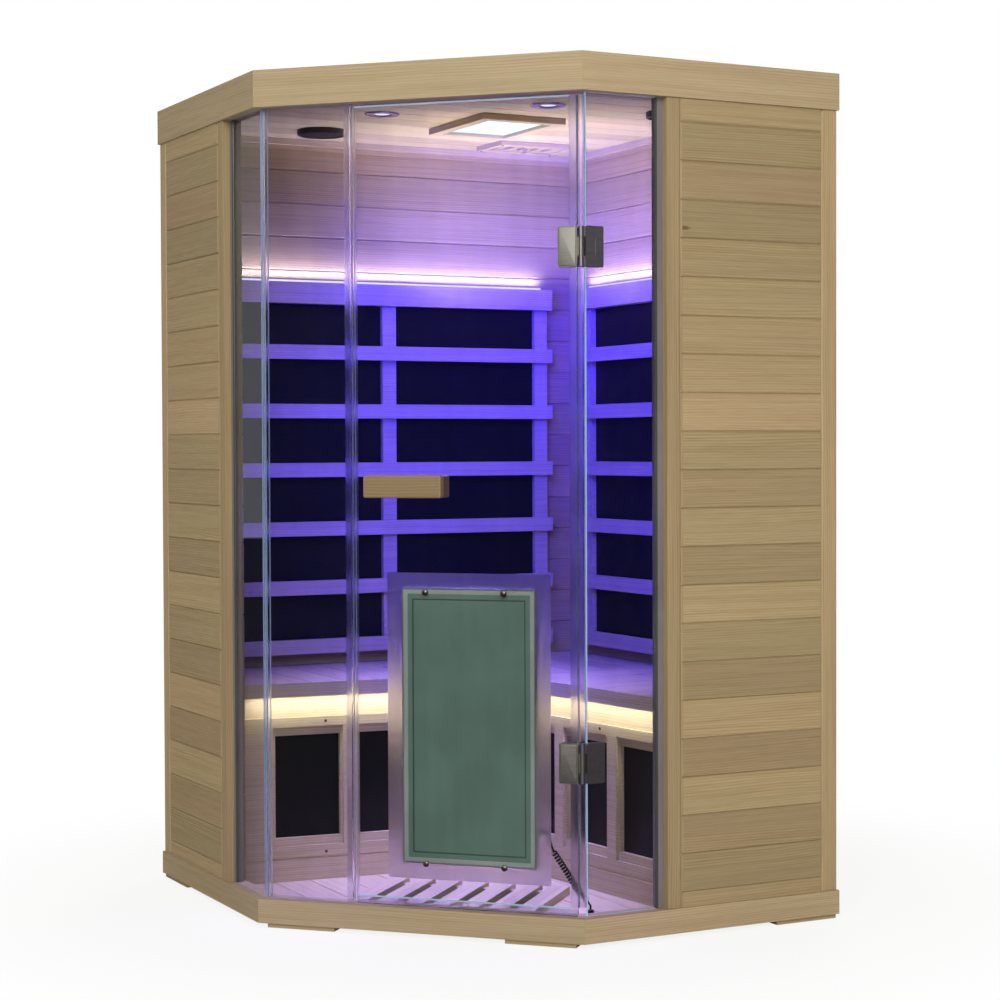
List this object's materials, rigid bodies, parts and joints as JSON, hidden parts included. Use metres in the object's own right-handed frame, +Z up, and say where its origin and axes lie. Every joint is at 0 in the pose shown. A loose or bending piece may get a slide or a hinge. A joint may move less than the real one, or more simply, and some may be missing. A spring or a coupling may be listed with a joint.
{
  "type": "infrared sauna cabin",
  "caption": "Corner infrared sauna cabin of tongue and groove boards with a glass front and hinged glass door, slatted heater guards, corner bench, duckboard floor and roof vent.",
  "frame": {"origin": "On the floor under the middle of the cabin's bounding box.", "axes": "+Z up, -Y out through the glass front, +X to the right of someone facing the front."},
  "size_m": [1.697, 1.318, 1.91],
  "materials": {
    "wood": "planed softwood boards, unvarnished satin",
    "pale_wood": "planed pale softwood, unvarnished",
    "carbon_panel": "black carbon heating panel, matt",
    "glass": "clear toughened glass, polished edges",
    "clear_plastic": "clear flexible seal profile",
    "steel": "brushed",
    "aluminium": "satin anodised",
    "black_plastic": "moulded, matt",
    "casing": "grey-green powder coat",
    "chrome": "polished",
    "cool_led": "lit diffuser, violet white",
    "warm_led": "lit diffuser, warm white"
  },
  "bodies": {
    "cabin": {"base_frame": "wood", "foot_front_left": "wood", "foot_front_right": "wood", "foot_left": "wood", "foot_right": "wood", "foot_back": "wood", "floor_deck": "pale_wood", "floor_grille": "pale_wood", "floor_heater": "carbon_panel", "left_wall": "wood", "right_wall": "wood", "back_left_wall": "wood", "back_right_wall": "wood", "roof_fascia": "wood", "ceiling_panel": "pale_wood", "roof_cover": "wood", "power_unit": "black_plastic", "crown_moulding": "pale_wood", "back_left_guard": "wood", "back_right_guard": "wood", "back_left_heater": "carbon_panel", "back_right_heater": "carbon_panel", "back_left_led_strip": "cool_led", "back_right_led_strip": "cool_led", "bench_seat_left": "pale_wood", "bench_seat_right": "pale_wood", "bench_front_left": "wood", "bench_front_right": "wood", "calf_heater_left": "carbon_panel", "calf_heater_right": "carbon_panel", "bench_led_strip": "warm_led", "left_side_glass": "glass", "front_fixed_glass": "glass", "right_side_glass": "glass", "left_glass_channel": "aluminium", "right_glass_channel": "aluminium", "corner_seal": "clear_plastic", "strike_seal": "clear_plastic", "lower_hinge_fixed_leaf": "steel", "lower_hinge_pin": "steel", "upper_hinge_fixed_leaf": "steel", "upper_hinge_pin": "steel", "heater_cord": "black_plastic", "cord_floor_gland": "black_plastic", "downlight_left": "chrome", "downlight_right": "chrome", "speaker_left": "black_plastic", "speaker_right": "black_plastic", "light_frame": "pale_wood", "light_diffuser": "cool_led", "vent_frame": "pale_wood", "control_panel": "black_plastic"},
    "door": {"door_glass": "glass", "lower_hinge_door_leaf": "steel", "upper_hinge_door_leaf": "steel", "handle_outer": "wood", "handle_inner": "wood", "door_heater_casing": "casing", "door_heater_emitter": "carbon_panel"},
    "shutter": {"vent_shutter": "wood"}
  },
  "joints": [
    {"name": "door_hinge", "type": "hinge", "parent": "cabin", "child": "door", "pos_m": [0.367, -0.63002, 0.95], "axis": [0, 0, 1], "range_deg": [0, 95]},
    {"name": "vent_slide", "type": "slide", "parent": "cabin", "child": "shutter", "axis": [-0.7071, -0.7071, 0], "range_m": [0, 0.018]}
  ]
}
